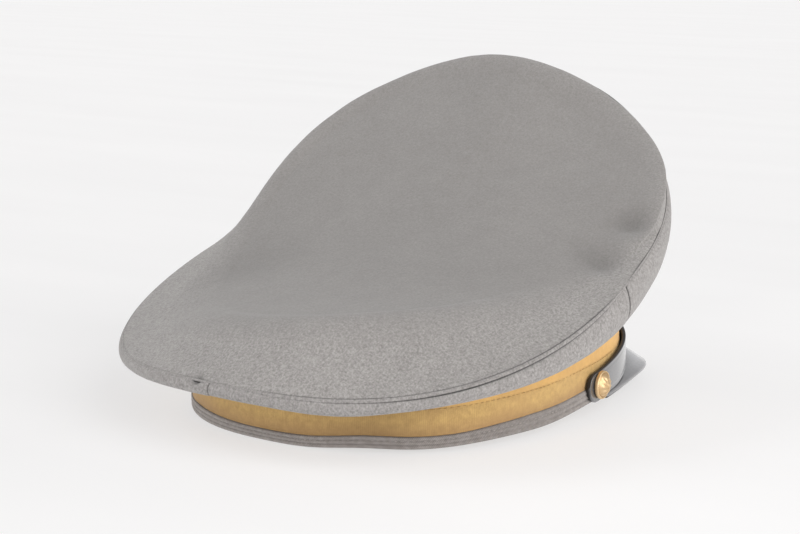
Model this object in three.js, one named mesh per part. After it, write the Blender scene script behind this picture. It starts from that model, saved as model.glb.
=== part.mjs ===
// A peaked military cap that rests on a flat surface, in millimetres, +Z up.
// It is drawn in the band's own frame, where the wearer faces -Y and the wearer's left is +X,
// and then leant back so that it stands on the back of its band and the tip of its visor.
import * as THREE from "three";

// Head band: the oval that the whole cap is drawn from
const headHalfLength = 105;
const headHalfWidth = 88;
const headSquareness = 2.43;
const bandHeight = 36.5;
const bandLean = -0.6;
const bandThickness = 2.2;
const bindingHeight = 5.6;
const bindingProud = 0.6;
const bindingRounding = 0.7;

// Crown cloth. The crest's soft turn starts at a share of the way up the margin, and ends at a
// share of the way out from the middle of the top.
const clothThickness = 1.5;
const crownSag = 7.5;
const crestStartsAt = 0.6;
const crestEndsAt = 0.9;
const weltRadius = 1.4;
const frontSeamAngle = 92;
const backSeamAngle = 180;
const seamGap = 0.1;

// Sections of the crown, one row for each direction seen from the wearer's head. Angles are in
// degrees from the front, towards the wearer's left. "out" is measured from the band's oval and
// "up" from the band's lower edge. A section runs from the top of the band to the belly of the
// side panel, then to the welt and over the crest. A slope is the direction of travel there, in
// degrees from straight out.
const sectionColumns = [
  "angle",
  "bellyOut", "bellyUp", "bellySlope",
  "weltOut", "weltUp", "weltSlope",
  "crestOut", "crestUp",
];
const crownSections = [
  [0, 22.5, 95, 74, 26.5, 130, 109, 4, 140.5],
  [45, 17.5, 71, 70, 18.5, 90.5, 122, 14.5, 127.5],
  [90, 22.5, 41.5, 40, 24, 59, 113, 7.5, 74],
  [135, 28.5, 26.5, 0, 30, 34.5, 135, -4.5, 48],
  [180, 33.5, 28, 0, 34, 34, 150, 4.5, 53.5],
  [225, 33.5, 26.8, 0, 36, 35.5, 130, 1, 58.5],
  [270, 28.5, 45, 42, 30, 63.5, 117, 13.5, 66.5],
  [315, 20.5, 74, 69, 21.5, 94.5, 125, 17.5, 106],
];
const bellyHandle = 0.45;
const panelShares = [0.14, 0.28, 0.4, 0.5, 0.58, 0.66, 0.74, 0.82];
const panelNearWelt = 0.9;
const marginNearWelt = 0.3;

// Soft dents in the top, just inside the crest: where, as a share of the way from the middle to
// the crest, and how wide and deep
const topDents = [
  { angle: -72, share: 0.89, radius: 10, depth: 5 },
  { angle: -86, share: 0.92, radius: 9, depth: 4 },
  { angle: 118, share: 0.8, radius: 22, depth: 1.6 },
];

// Visor: its inner edge arches over the brow, and its tip reaches down to the surface
const visorEndAngle = 78;
const visorThickness = 2.2;
const visorReach = 44;
const visorEndReach = 2.4;
const visorSeatOut = 0.9;
const visorEndUp = 0.9;
const visorArch = 7.7;
const visorTipUp = -15.07;
const visorArchPower = 3.2;
const visorSlopePower = 0.6;
const visorReachPower = 3;
const visorBow = 0.09;

// Chin strap, from button to button over the front of the band
const buttonAngle = 78;
const buttonUp = 7.6;
const strapWidth = 12.5;
const strapThickness = 2;
const strapRise = 9.5;
const strapSeatOut = 0.9;
const strapRoundsFrom = 1.5;
const strapEndAngle = 5;
const strapEndShares = [0.3, 0.55, 0.75, 0.9, 0.97];
const buttonRadius = 6.5;
const buttonRim = 1.9;
const buttonDome = 5;

// How the cap rests, and the gap kept between sewn pieces
const restTilt = 3.8;
const gap = 0.3;

// How finely each surface is divided
const columnsRound = 64;
const frontColumns = 32;
const sideColumns = 16;
const visorColumns = 28;
const strapColumns = 44;

const radians = THREE.MathUtils.degToRad;

// Point and outward direction on the band's oval
function ovalAt(turn) {
  const across = Math.sin(turn);
  const along = -Math.cos(turn);
  const power = headSquareness;
  const size = (Math.abs(across) ** power + Math.abs(along) ** power) ** (-1 / power);
  const outward = new THREE.Vector2(
    (Math.sign(across) * Math.abs(across * size) ** (power - 1)) / headHalfWidth,
    (Math.sign(along) * Math.abs(along * size) ** (power - 1)) / headHalfLength,
  ).normalize();
  return {
    x: headHalfWidth * across * size,
    y: headHalfLength * along * size,
    outward,
  };
}

function pointAt(turn, out, up) {
  const oval = ovalAt(turn);
  return new THREE.Vector3(oval.x + oval.outward.x * out, oval.y + oval.outward.y * out, up);
}

// Smooth waves through values that are evenly spaced round the cap
function wavesThrough(values) {
  const count = values.length;
  const waves = [];
  for (let k = 0; k <= count / 2; k += 1) {
    const weight = k === 0 || k === count / 2 ? 1 / count : 2 / count;
    let cosine = 0;
    let sine = 0;
    values.forEach((value, i) => {
      cosine += weight * value * Math.cos((2 * Math.PI * k * i) / count);
      sine += weight * value * Math.sin((2 * Math.PI * k * i) / count);
    });
    waves.push({ cosine, sine });
  }
  return waves;
}

// Sum of the waves at a turn. The share scales each wave as a stretched skin does, from 1 at the
// rim to 0 at the middle.
function waveSum(waves, turn, share = 1) {
  return waves.reduce(
    (sum, wave, k) =>
      sum + (wave.cosine * Math.cos(k * turn) + wave.sine * Math.sin(k * turn)) * share ** k,
    0,
  );
}

const section = {};
sectionColumns.forEach((column, c) => {
  const waves = wavesThrough(crownSections.map((row) => row[c]));
  section[column] = (turn) => waveSum(waves, turn);
});

// Side panel, from the band at 0 to the welt at 1, as out and up
function panelProfile(turn, share) {
  const seat = new THREE.Vector2(bandLean, bandHeight);
  const belly = new THREE.Vector2(section.bellyOut(turn), section.bellyUp(turn));
  const welt = weltProfile(turn);
  const bellySlope = radians(section.bellySlope(turn));
  const weltSlope = radians(section.weltSlope(turn));
  const bellyWay = new THREE.Vector2(Math.cos(bellySlope), Math.sin(bellySlope));
  const weltWay = new THREE.Vector2(Math.cos(weltSlope), Math.sin(weltSlope));
  if (share <= 0.5) {
    const handle = belly.clone().addScaledVector(bellyWay, -bellyHandle * belly.distanceTo(seat));
    return new THREE.QuadraticBezierCurve(seat, handle, belly).getPoint(share * 2);
  }
  const quarterTurn = Math.cos((weltSlope - bellySlope) / 4);
  const reach = welt.distanceTo(belly) / (3 * quarterTurn ** 2);
  const first = belly.clone().addScaledVector(bellyWay, reach);
  const second = welt.clone().addScaledVector(weltWay, -reach);
  return new THREE.CubicBezierCurve(belly, first, second, welt).getPoint(share * 2 - 1);
}

function weltProfile(turn) {
  return new THREE.Vector2(section.weltOut(turn), section.weltUp(turn));
}

function crestProfile(turn) {
  return new THREE.Vector2(section.crestOut(turn), section.crestUp(turn));
}

function panelPoint(turn, share) {
  const profile = panelProfile(turn, share);
  return pointAt(turn, profile.x, profile.y);
}

// Margin of the top, from the welt at 0 to the crest at 1
function marginPoint(turn, share) {
  const profile = weltProfile(turn).lerp(crestProfile(turn), share);
  return pointAt(turn, profile.x, profile.y);
}

// The top is a skin stretched over the crest: a plane that follows the crest's fall from front to
// back and side to side, and waves for what the crest rises above and below that plane
const crestRing = Array.from({ length: 32 }, (_, i) => {
  const turn = (2 * Math.PI * i) / 32;
  return pointAt(turn, section.crestOut(turn), section.crestUp(turn));
});
const ringWaves = (axis) => wavesThrough(crestRing.map((point) => point[axis]))[1];
const fallBack = ringWaves("z").cosine / ringWaves("y").cosine;
const fallAside = ringWaves("z").sine / ringWaves("x").sine;
const crestRipples = wavesThrough(
  crestRing.map((point) => point.z - fallBack * point.y - fallAside * point.x),
);

// Top, from its middle at 0 to the crest at 1
function topPoint(turn, share) {
  const point = pointAt(turn, section.crestOut(turn), 0).multiplyScalar(share);
  const ripple = waveSum(crestRipples, turn, share);
  point.z = fallBack * point.y + fallAside * point.x + ripple - crownSag * (1 - share ** 2);
  return point;
}

// Crest: a soft turn from the margin into the top, through the crest point
function crestPoint(turn, share) {
  const start = marginPoint(turn, crestStartsAt);
  const end = topPoint(turn, crestEndsAt);
  const middle = topPoint(turn, 1);
  const handle = middle.clone().multiplyScalar(2).sub(start.clone().add(end).multiplyScalar(0.5));
  return new THREE.QuadraticBezierCurve3(start, handle, end).getPoint(share);
}

function dented(point) {
  for (const dent of topDents) {
    const centre = topPoint(radians(dent.angle), dent.share);
    const distance = Math.hypot(point.x - centre.x, point.y - centre.y);
    point.z -= dent.depth * Math.exp(-((distance / dent.radius) ** 2));
  }
  return point;
}

// Turns, evenly spaced between two angles in degrees
function turnsBetween(from, to, steps) {
  return Array.from({ length: steps + 1 }, (_, i) => radians(from + ((to - from) * i) / steps));
}

const turnsRound = turnsBetween(0, 360, columnsRound).slice(0, columnsRound);

// A mesh geometry from shared points, with its faces turned to point out
function closedGeometry(points, triangles) {
  let volume = 0;
  for (const [a, b, c] of triangles) {
    const cross = new THREE.Vector3().crossVectors(points[b], points[c]);
    volume += points[a].dot(cross);
  }
  const facing = volume < 0 ? triangles.map(([a, b, c]) => [a, c, b]) : triangles;
  const geometry = new THREE.BufferGeometry().setFromPoints(points);
  geometry.setIndex(facing.flat());
  geometry.computeVertexNormals();
  return geometry;
}

// Triangles between two rows of point numbers. A row of one point is a pole.
function stitch(lower, upper, goesRound) {
  const triangles = [];
  const count = lower.length;
  const last = goesRound ? count : count - 1;
  for (let i = 0; i < last; i += 1) {
    const next = (i + 1) % count;
    if (upper.length === 1) {
      triangles.push([lower[i], lower[next], upper[0]]);
    } else {
      triangles.push([lower[i], lower[next], upper[next]]);
      triangles.push([lower[i], upper[next], upper[i]]);
    }
  }
  return triangles;
}

// A solid between two faces with the same rows, joined along their edges
function solidBetween(faceRows, backRows, goesRound) {
  const points = [];
  const triangles = [];
  const numbered = (rows) => rows.map((row) => row.map((point) => points.push(point) - 1));
  const face = numbered(faceRows);
  const back = numbered(backRows);
  const last = face.length - 1;
  for (let r = 0; r < last; r += 1) {
    triangles.push(...stitch(face[r], face[r + 1], goesRound));
    triangles.push(...stitch(back[r], back[r + 1], goesRound).map(([a, b, c]) => [a, c, b]));
  }
  triangles.push(...stitch(back[0], face[0], goesRound));
  if (face[last].length > 1) triangles.push(...stitch(face[last], back[last], goesRound));
  if (!goesRound) {
    const end = face[0].length - 1;
    const sideAt = (i) => stitch(...[face, back].map((rows) => rows.map((row) => row[i])), false);
    triangles.push(...sideAt(0));
    triangles.push(...sideAt(end).map(([a, b, c]) => [a, c, b]));
  }
  return closedGeometry(points, triangles);
}

// A closed section swept round the band: the section is a list of out and up
function ringGeometry(sectionAt) {
  const loops = turnsRound.map((turn) => sectionAt(turn).map(([out, up]) => pointAt(turn, out, up)));
  const points = loops.flat();
  const corners = loops[0].length;
  const triangles = [];
  for (let i = 0; i < loops.length; i += 1) {
    const here = i * corners;
    const there = ((i + 1) % loops.length) * corners;
    for (let c = 0; c < corners; c += 1) {
      const next = (c + 1) % corners;
      triangles.push([here + c, there + c, there + next]);
      triangles.push([here + c, there + next, here + next]);
    }
  }
  return closedGeometry(points, triangles);
}

// Rows moved along the surface's own normals, to give a cloth its thickness
function offsetRows(rows, distance, goesRound) {
  const columns = rows[0].length;
  const nearest = (r, c) => (rows[r].length === 1 ? rows[r][0] : rows[r][c]);
  return rows.map((row, r) =>
    row.map((point, c) => {
      if (row.length === 1) return point.clone().add(new THREE.Vector3(0, 0, -distance));
      const before = goesRound ? (c + columns - 1) % columns : Math.max(c - 1, 0);
      const after = goesRound ? (c + 1) % columns : Math.min(c + 1, columns - 1);
      const along = row[after].clone().sub(row[before]);
      const up = nearest(Math.min(r + 1, rows.length - 1), c)
        .clone()
        .sub(nearest(Math.max(r - 1, 0), c));
      const inward = new THREE.Vector3().crossVectors(up, along).normalize();
      return point.clone().addScaledVector(inward, distance);
    }),
  );
}

// Where a cloth stops short of the welt, which is sewn in between the two cloths
const weltClearance = weltRadius + gap;

function besideWelt(turn, neighbour) {
  const welt = pointAt(turn, section.weltOut(turn), section.weltUp(turn));
  const way = neighbour.clone().sub(welt).normalize();
  return welt.addScaledVector(way, weltClearance);
}

// One side panel, whose lower edge stands on top of the band. Angles are in degrees.
function quarterGeometry(fromAngle, toAngle, columns) {
  const turns = turnsBetween(fromAngle + seamGap, toAngle - seamGap, columns);
  const footUp = bandHeight + gap;
  const raised = (point, share) => point.add(new THREE.Vector3(0, 0, gap * (1 - share)));
  const face = [
    turns.map((turn) => pointAt(turn, bandLean, footUp)),
    ...panelShares.map((share) => turns.map((turn) => raised(panelPoint(turn, share), share))),
    turns.map((turn) => besideWelt(turn, panelPoint(turn, panelNearWelt))),
  ];
  const back = offsetRows(face, clothThickness, false);
  return solidBetween(face, back, false);
}

// The tip of the crown: its margin above the welt, the crest and the dished top
function crownTopGeometry() {
  const crestShares = [0, 0.25, 0.5, 0.75, 1];
  const topShares = [0.8, 0.68, 0.54, 0.4, 0.26, 0.12];
  const face = [
    turnsRound.map((turn) => besideWelt(turn, marginPoint(turn, marginNearWelt))),
    turnsRound.map((turn) => marginPoint(turn, marginNearWelt)),
    ...crestShares.map((share) => turnsRound.map((turn) => dented(crestPoint(turn, share)))),
    ...topShares.map((share) => turnsRound.map((turn) => dented(topPoint(turn, share)))),
    [dented(topPoint(0, 0))],
  ];
  return solidBetween(face, offsetRows(face, clothThickness, true), true);
}

// The piping sewn round the edge of the crown
function weltGeometry() {
  const sides = 8;
  return ringGeometry((turn) => {
    const centre = weltProfile(turn);
    return Array.from({ length: sides }, (_, i) => {
      const angle = (2 * Math.PI * i) / sides;
      return [centre.x + weltRadius * Math.cos(angle), centre.y + weltRadius * Math.sin(angle)];
    });
  });
}

// Outer face of the band at a height: it leans in a little towards the top
function bandOut(up) {
  return (bandLean * up) / bandHeight;
}

function bandGeometry() {
  const low = bindingHeight + gap;
  return ringGeometry(() => [
    [bandOut(low), low],
    [bandOut(bandHeight), bandHeight],
    [bandOut(bandHeight) - bandThickness, bandHeight],
    [bandOut(low) - bandThickness, low],
  ]);
}

// Cloth binding under the band, rounded outside and flat below
function bindingGeometry() {
  return ringGeometry(() => [
    [-bandThickness, 0],
    [bindingProud - bindingRounding, 0],
    [bindingProud, bindingRounding],
    [bindingProud, bindingHeight - bindingRounding],
    [bindingProud - bindingRounding, bindingHeight],
    [-bandThickness, bindingHeight],
  ]);
}

// How far round towards the visor's end a turn is, as a cosine from 1 in front to 0 at the end
function visorShare(turn) {
  return Math.max(Math.cos((turn / radians(visorEndAngle)) * (Math.PI / 2)), 0);
}

function visorInnerUp(turn) {
  return visorEndUp + visorArch * visorShare(turn) ** visorArchPower;
}

// Upper face of the visor, from its sewn edge at 0 to its free edge at 1
function visorPoint(turn, share) {
  const near = visorShare(turn);
  const reach = visorEndReach + (visorReach - visorEndReach) * near ** visorReachPower;
  const slope = (visorInnerUp(0) - visorTipUp) / visorReach;
  const drop = slope * near ** visorSlopePower * reach;
  const bow = visorBow * reach * Math.sin(Math.PI * share);
  return pointAt(turn, visorSeatOut + reach * share, visorInnerUp(turn) - drop * share + bow);
}

function visorGeometry() {
  const turns = turnsBetween(-visorEndAngle, visorEndAngle, visorColumns);
  const shares = [0, 0.2, 0.4, 0.6, 0.8, 1];
  const face = shares.map((share) => turns.map((turn) => visorPoint(turn, share)));
  const back = offsetRows(face, -visorThickness, false);
  back[0] = face[0].map((point) => point.clone().add(new THREE.Vector3(0, 0, -visorThickness)));
  return solidBetween(face, back, false);
}

// Height of the middle of the chin strap
function strapUp(turn) {
  const share = Math.max(Math.cos((turn / radians(buttonAngle)) * (Math.PI / 2)), 0);
  return buttonUp + strapRise * share;
}

// The strap keeps its width past each button's middle, and then has a round end
function strapGeometry() {
  const straight = buttonAngle + strapRoundsFrom;
  const middle = turnsBetween(-straight, straight, strapColumns).map((turn) => [turn, 1]);
  const round = strapEndShares.map((share) => [
    radians(straight + share * (strapEndAngle - strapRoundsFrom)),
    Math.sqrt(1 - share ** 2),
  ]);
  const stations = [
    ...round.map(([turn, width]) => [-turn, width]).reverse(),
    ...middle,
    ...round,
  ];
  const rowsAt = (out) =>
    [-0.5, 0.5].map((side) =>
      stations.map(([turn, width]) =>
        pointAt(turn, out, strapUp(turn) + side * strapWidth * width),
      ),
    );
  return solidBetween(rowsAt(strapSeatOut + strapThickness), rowsAt(strapSeatOut), false);
}

// A domed button with a rim and a flat back, turned about its own +Y axis
function buttonGeometry() {
  const profile = [
    [0, 0],
    [buttonRadius - 0.6, 0],
    [buttonRadius, 0.5],
    [buttonRadius, buttonRim - 0.4],
    [buttonRadius - 0.8, buttonRim],
    [buttonRadius * 0.72, buttonDome * 0.68],
    [buttonRadius * 0.4, buttonDome * 0.92],
    [0, buttonDome],
  ];
  return new THREE.LatheGeometry(
    profile.map(([radius, height]) => new THREE.Vector2(radius, height)),
    20,
  );
}

// Finishes
const greyWool = { color: "#9b9690", roughness: 0.95, metalness: 0 };
const marginWool = { color: "#a29e9d", roughness: 0.95, metalness: 0 };
const goldBraid = { color: "#bd9763", roughness: 0.8, metalness: 0 };
const greyBinding = { color: "#857d77", roughness: 0.9, metalness: 0 };
const patentLeather = { color: "#2b2b2e", roughness: 0.15, metalness: 0 };
const blackLeather = { color: "#1c1a1a", roughness: 0.45, metalness: 0 };
const giltMetal = { color: "#c9a678", roughness: 0.4, metalness: 1 };

function piece(name, geometry, finish) {
  const mesh = new THREE.Mesh(geometry, new THREE.MeshStandardMaterial(finish));
  mesh.name = name;
  return mesh;
}

function buttonPiece(name, side) {
  const turn = radians(side * buttonAngle);
  const outward = ovalAt(turn).outward;
  const button = piece(name, buttonGeometry(), giltMetal);
  button.position.copy(pointAt(turn, strapSeatOut + strapThickness + gap, buttonUp));
  button.quaternion.setFromUnitVectors(
    new THREE.Vector3(0, 1, 0),
    new THREE.Vector3(outward.x, outward.y, 0),
  );
  return button;
}

// The cap in the band's frame
const cap = new THREE.Group();
cap.add(
  piece("crown_top", crownTopGeometry(), marginWool),
  piece("crown_welt", weltGeometry(), greyWool),
  piece("quarter_front", quarterGeometry(-frontSeamAngle, frontSeamAngle, frontColumns), greyWool),
  piece("quarter_left", quarterGeometry(frontSeamAngle, backSeamAngle, sideColumns), greyWool),
  piece("quarter_right", quarterGeometry(-backSeamAngle, -frontSeamAngle, sideColumns), greyWool),
  piece("band", bandGeometry(), goldBraid),
  piece("band_binding", bindingGeometry(), greyBinding),
  piece("visor", visorGeometry(), patentLeather),
  piece("chin_strap", strapGeometry(), blackLeather),
  buttonPiece("button_left", 1),
  buttonPiece("button_right", -1),
);

// Leant back about the back of the band, which stays on the surface
const leaning = new THREE.Group();
leaning.rotation.x = -radians(restTilt);
leaning.position.y = headHalfLength;
cap.position.y = -headHalfLength;
leaning.add(cap);

// The origin is on the surface, under the middle of the cap's box
const part = new THREE.Group();
part.name = "military_cap";
part.add(leaning);
part.updateMatrixWorld(true);
const box = new THREE.Box3().setFromObject(part, true);
const middle = box.getCenter(new THREE.Vector3());
leaning.position.x -= middle.x;
leaning.position.y -= middle.y;
leaning.position.z -= box.min.z;

export default part;
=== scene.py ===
import math
import random

import bmesh
import bpy
import numpy as np
from mathutils import Matrix, Vector, noise


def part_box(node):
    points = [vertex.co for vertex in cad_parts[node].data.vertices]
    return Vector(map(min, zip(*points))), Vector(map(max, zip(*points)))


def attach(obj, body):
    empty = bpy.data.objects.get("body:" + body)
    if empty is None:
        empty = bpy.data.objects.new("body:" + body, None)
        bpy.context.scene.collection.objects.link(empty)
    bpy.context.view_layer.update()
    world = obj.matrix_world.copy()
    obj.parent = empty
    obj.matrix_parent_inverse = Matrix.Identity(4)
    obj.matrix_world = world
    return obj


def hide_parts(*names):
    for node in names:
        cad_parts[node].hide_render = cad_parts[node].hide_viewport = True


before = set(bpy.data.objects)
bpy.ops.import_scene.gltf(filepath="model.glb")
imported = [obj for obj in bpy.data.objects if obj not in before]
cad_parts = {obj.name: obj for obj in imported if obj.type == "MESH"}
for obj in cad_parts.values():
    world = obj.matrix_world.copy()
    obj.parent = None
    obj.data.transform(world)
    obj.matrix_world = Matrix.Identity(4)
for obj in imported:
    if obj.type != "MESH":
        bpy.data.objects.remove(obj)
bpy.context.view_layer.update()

# A peaked military cap. Lengths are in millimetres in the band's own frame, where the wearer
# faces -Y and the wearer's left is +X, and turn into metres when a mesh is made.
MM = 0.001
random.seed(7)

# Head band
HEAD_HALF_LENGTH = 105.0
HEAD_HALF_WIDTH = 88.0
HEAD_SQUARENESS = 2.43
BAND_HEIGHT = 36.5
BAND_LEAN = -0.6
BAND_THICKNESS = 2.2
BINDING_HEIGHT = 5.6
BINDING_PROUD = 0.6
BRAID_SEAM_UP = 17.0
TAPE_SEAM_UP = 3.75
TAPE_SEAM_IN = 0.35
REST_TILT = math.radians(3.8)
GAP = 0.3
CAD_COLUMNS = 64
# Points of a mesh that lie this near are one
MERGE_WITHIN = 0.004

# Crown cloth
CLOTH = 1.5
CROWN_SAG = 7.5
CREST_STARTS_AT = 0.6
CREST_ENDS_AT = 0.9
BELLY_HANDLE = 0.45
FRONT_SEAM = 92.0
BACK_SEAM = 180.0
# How much painted shade lies in the seams at the panels' sides: the front seam and the back seam
SIDE_SEAM_SHADES = {FRONT_SEAM: 1.0, BACK_SEAM: 0.5}

# Sections of the crown, a row for each direction: angle from the front towards the wearer's
# left, then out and up from the band's oval and lower edge, and slopes in degrees
SECTION_COLUMNS = [
    "angle",
    "belly_out", "belly_up", "belly_slope",
    "welt_out", "welt_up", "welt_slope",
    "crest_out", "crest_up",
]
CROWN_SECTIONS = np.array([
    [0, 22.5, 95, 74, 26.5, 130, 109, 4, 140.5],
    [45, 17.5, 71, 70, 18.5, 90.5, 122, 14.5, 127.5],
    [90, 22.5, 41.5, 40, 24, 59, 113, 7.5, 74],
    [135, 28.5, 26.5, 0, 30, 34.5, 135, -4.5, 48],
    [180, 33.5, 28, 0, 34, 34, 150, 4.5, 53.5],
    [225, 33.5, 26.8, 0, 36, 35.5, 130, 1, 58.5],
    [270, 28.5, 45, 42, 30, 63.5, 117, 13.5, 66.5],
    [315, 20.5, 74, 69, 21.5, 94.5, 125, 17.5, 106],
])

# Soft dents in the top: angle, share of the way out from the middle, radius and depth
TOP_DENTS = [
    (-69.5, 0.93, 9, 4.2),
    (-86, 0.97, 9, 3.4),
    (-82, 0.86, 10, 1.3),
    (118, 0.80, 22, 1.6),
]

# How much painted shade darkens the cloth in a dent, for each millimetre of its depth
DENT_SHADE = 0.07

# The welt is pressed flat between the cloths near these angles, and the shadow in its seam is
# faint near those: angle, half width and share
WELT_STANDING = 1.1
WELT_PRESSED = 0.4
WELT_FLAT_AT = [(-92, 10, 1.0), (-73, 13, 1.0), (-177, 9, 0.95), (150, 34, 0.9), (110, 34, 0.9)]
SEAM_FAINT_AT = [(-93, 7, 1.0), (-171, 8, 0.85), (146, 36, 0.92), (108, 36, 0.97)]
# The shadow below the welt is faint near these angles too
LOWER_FAINT_AT = [(-70, 18, 0.9), (-174, 14, 0.75)]
# The cloth is tucked in beside the seam at the back: angle, radius and depth
BACK_TUCK = (175.8, 2.0, 1.8)
# The cloth lies even this near to the welt, and its face ends this far from the welt's side
SEWN_FLAT = 7.0
SEAM_OPEN = 0.4
# The cloth goes to the welt from these shares of the margin and of the side panel
MARGIN_NEAR_WELT = 0.2
PANEL_NEAR_WELT = 0.93
# Soft unevenness of the cloth: sizes and heights
UNEVENNESS = [(46, 0.55), (19, 0.28), (7, 0.10)]

# The worn side panel hangs lower or higher at its belly here: angle, half width and rise
BELLY_FOLDS = [(-152, 9, -1.3), (-126, 24, 2.4)]
# The worn band's lower edge bows up or down here, and its tape is wider at the sides
BAND_BOWS = [(-151, 12, 1.75), (-98, 14, -1.3)]
TAPE_ANGLES = [78, 105, 128, 150, 165, 180]
TAPE_HEIGHTS = [6.8, 6.9, 5.2, 5.6, 4.9, 4.7]
# Both are painted darker near these angles, as painted shade under the crown's low belly and on the
# tape at the wearer's right: angle, half width and share
BRAID_SHADOWED_AT = [(-147, 13, 0.3)]
TAPE_SHADOWED_AT = [(-108, 28, 0.9), (-147, 14, 0.3)]

# Visor, strap and buttons
VISOR_END = 78.0
# The worn visor ends this share of the way there, hidden behind the strap
VISOR_ENDS_AT = 0.94
VISOR_THICKNESS = 2.2
VISOR_REACH = 44.0
VISOR_END_REACH = 2.4
VISOR_SEAT_OUT = 0.9
VISOR_END_UP = 0.9
VISOR_ARCH = 7.7
VISOR_TIP_UP = -15.07
VISOR_ARCH_POWER = 3.2
VISOR_SLOPE_POWER = 0.6
VISOR_REACH_POWER = 3.0
VISOR_BOW = 0.09
BUTTON_ANGLE = 78.0
BUTTON_UP = 7.6
BUTTON_RADIUS = 6.5
STRAP_WIDTH = 12.5
STRAP_THICKNESS = 2.0
STRAP_RISE = 9.5
STRAP_SEAT_OUT = 0.9
STRAP_ROUNDS_FROM = 1.5
STRAP_END_ANGLE = 5.0
# Near its ends the strap's lower edge lies lower, down on the visor: angles and millimetres
STRAP_LOW_ANGLES = [32, 54, 66, 73, 78]
STRAP_LOWER_BY = [0, 2.2, 2.1, 1.0, 1.5]

# Camera, fitted to the photograph
IMAGE_WIDTH = 800
FOCAL_PIXELS = 1957.5
SENSOR = 36.0
CAMERA_AZIMUTH = math.radians(216.31)
CAMERA_ELEVATION = math.radians(9.37)
CAMERA_ROLL = math.radians(-0.99)
CAMERA_DISTANCE = 914.24
LOOK_ASIDE = -6.07
LOOK_UP = 62.38

# Pale floor: its own glow, its rise towards the right front and where that starts and ends in
# metres, the share of light sent back and how that varies
FLOOR_GLOW = 0.585
FLOOR_GLOW_RISES = 0.07
GLOW_RISES_FROM, GLOW_RISES_TO = -0.06, 0.16
FLOOR_TONE = 0.33
FLOOR_VARIES = 0.012
WALL_COLOUR = (0.665, 0.668, 0.68)
CEILING_COLOUR = (0.305, 0.308, 0.315)


# The band's oval and the crown's curves
def turns_round(count):
    """Evenly spaced turns, once round."""
    return 2 * np.pi * np.arange(count) / count


def swell(off, half_width):
    """1 at the middle of a bump, and falling away over its half width on both sides."""
    return np.exp(-((off / half_width) ** 2))


def point_at(turn, out, up):
    """Points at a distance out from the band's oval and at a height up, all arrays alike."""
    power = HEAD_SQUARENESS
    across, along = np.sin(turn), -np.cos(turn)
    size = (np.abs(across) ** power + np.abs(along) ** power) ** (-1 / power)
    centre = np.stack([HEAD_HALF_WIDTH * across * size, HEAD_HALF_LENGTH * along * size], -1)
    outward = np.stack([
        np.sign(across) * np.abs(across * size) ** (power - 1) / HEAD_HALF_WIDTH,
        np.sign(along) * np.abs(along * size) ** (power - 1) / HEAD_HALF_LENGTH,
    ], -1)
    outward /= np.linalg.norm(outward, axis=-1, keepdims=True)
    flat = centre + outward * np.asarray(out, float)[..., None]
    height = np.broadcast_to(np.asarray(up, float), flat.shape[:-1])
    return np.concatenate([flat, height[..., None]], -1)


def waves_through(values):
    """Smooth waves through values that are evenly spaced round the cap."""
    count = len(values)
    around = turns_round(count)
    waves = []
    for k in range(count // 2 + 1):
        weight = (1 if k in (0, count // 2) else 2) / count
        cosine = weight * np.sum(values * np.cos(k * around))
        waves.append((cosine, weight * np.sum(values * np.sin(k * around))))
    return waves


def wave_sum(waves, turn, share=1.0):
    total = 0.0
    for k, (cosine, sine) in enumerate(waves):
        total = total + (cosine * np.cos(k * turn) + sine * np.sin(k * turn)) * share**k
    return total


SECTION_WAVES = {
    column: waves_through(CROWN_SECTIONS[:, c]) for c, column in enumerate(SECTION_COLUMNS)
}


def section(column, turn):
    return wave_sum(SECTION_WAVES[column], turn)


def bezier(handles, share):
    """Point on a Bezier curve through its first and last handle."""
    degree = len(handles) - 1
    total = 0.0
    for i, handle in enumerate(handles):
        weight = math.comb(degree, i) * share**i * (1 - share) ** (degree - i)
        total = total + handle * weight
    return total


def panel_profile(turn, share):
    """Out and up of the side panel, from the band at 0 to the welt at 1."""
    share = np.full_like(turn, share)[..., None]
    seat = np.array([BAND_LEAN, BAND_HEIGHT])
    belly = np.stack([section("belly_out", turn), section("belly_up", turn)], -1)
    welt = np.stack([section("welt_out", turn), section("welt_up", turn)], -1)
    slopes = np.radians(section("belly_slope", turn)), np.radians(section("welt_slope", turn))
    belly_way, welt_way = (np.stack([np.cos(s), np.sin(s)], -1) for s in slopes)
    rise = np.linalg.norm(belly - seat, axis=-1, keepdims=True)
    lower = bezier([seat, belly - belly_way * BELLY_HANDLE * rise, belly], share * 2)
    reach = np.linalg.norm(welt - belly, axis=-1) / (3 * np.cos((slopes[1] - slopes[0]) / 4) ** 2)
    reach = reach[..., None]
    handles = [belly, belly + belly_way * reach, welt - welt_way * reach, welt]
    return np.where(share <= 0.5, lower, bezier(handles, share * 2 - 1))


def panel_point(turn, share):
    profile = panel_profile(turn, share)
    return point_at(turn, profile[..., 0], profile[..., 1])


def margin_profile(turn, share):
    """Out and up of the margin of the top, from the welt at 0 to the crest at 1."""
    out = section("welt_out", turn) * (1 - share) + section("crest_out", turn) * share
    up = section("welt_up", turn) * (1 - share) + section("crest_up", turn) * share
    return np.stack([out, up], -1)


def margin_point(turn, share):
    profile = margin_profile(turn, share)
    return point_at(turn, profile[..., 0], profile[..., 1])


RING_TURNS = turns_round(32)
CREST_RING = point_at(RING_TURNS, section("crest_out", RING_TURNS), section("crest_up", RING_TURNS))
FIRST_WAVES = [waves_through(CREST_RING[:, axis])[1] for axis in range(3)]
FALL_BACK = FIRST_WAVES[2][0] / FIRST_WAVES[1][0]
FALL_ASIDE = FIRST_WAVES[2][1] / FIRST_WAVES[0][1]
CREST_RIPPLES = waves_through(
    CREST_RING[:, 2] - FALL_BACK * CREST_RING[:, 1] - FALL_ASIDE * CREST_RING[:, 0]
)


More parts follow.
